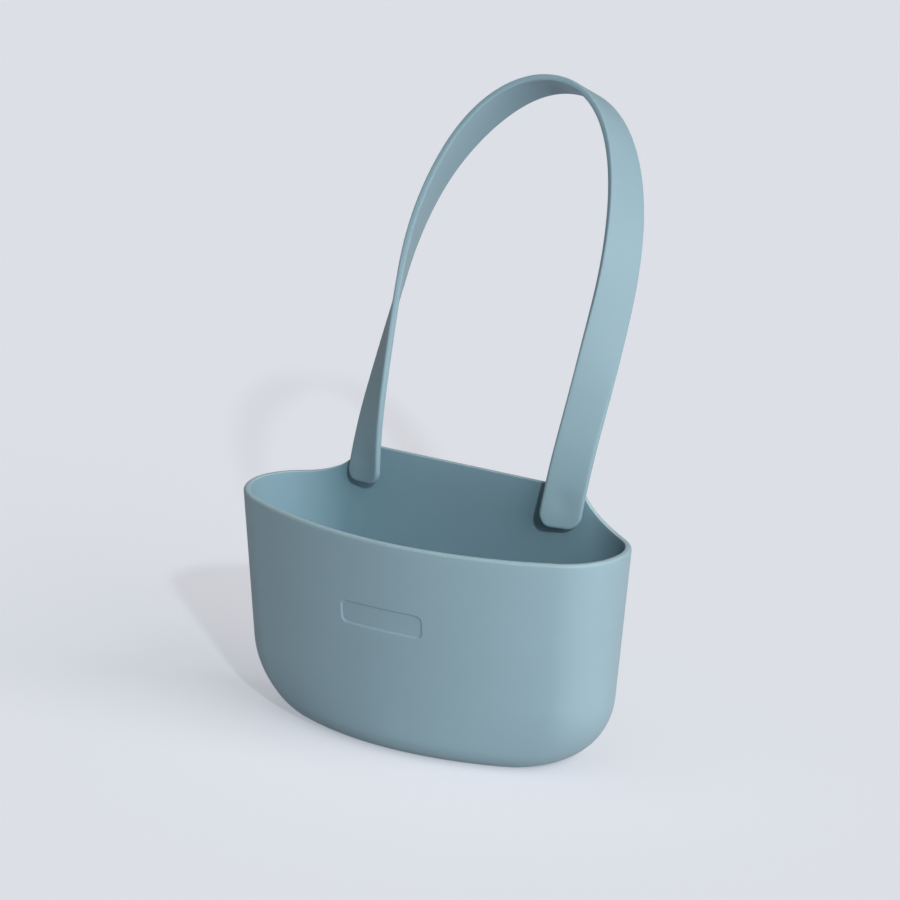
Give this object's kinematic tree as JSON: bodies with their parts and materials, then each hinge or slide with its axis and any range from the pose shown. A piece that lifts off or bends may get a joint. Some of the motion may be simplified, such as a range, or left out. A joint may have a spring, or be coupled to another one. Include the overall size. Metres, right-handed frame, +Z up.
{
  "type": "kitchen sink caddy",
  "caption": "Soft rubber sink caddy: an open pocket with a raised back, drain holes and a buttoned twisted strap loop that hangs over a tap.",
  "frame": {"origin": "on the underside of the base, in the middle of the width and of the rim's depth", "axes": "+Z up, +X to the right seen from the front, +Y from the front wall to the back wall"},
  "size_m": [0.1298, 0.103, 0.1979],
  "materials": {
    "pocket_rubber": "smooth matt, blue-grey",
    "strap_rubber": "smooth matt, blue-grey"
  },
  "bodies": {
    "pocket": {"pocket": "pocket_rubber"},
    "strap_ends": {"left_strap_end": "strap_rubber", "right_strap_end": "strap_rubber", "left_stud": "strap_rubber", "right_stud": "strap_rubber"},
    "strap_arch": {"strap_arch": "strap_rubber"}
  },
  "joints": [
    {"name": "strap_unbutton", "type": "slide", "parent": "pocket", "child": "strap_ends", "axis": [0, -1, 0], "range_m": [0, 0.008], "deforming": ["left_stud", "right_stud"]},
    {"name": "strap_swing", "type": "hinge", "parent": "strap_ends", "child": "strap_arch", "pos_m": [0, 0.0238, 0.084], "axis": [1, 0, 0], "range_deg": [-60, 100], "stiffness_Nm_per_rad": 0.03, "springref_deg": 4.78}
  ]
}
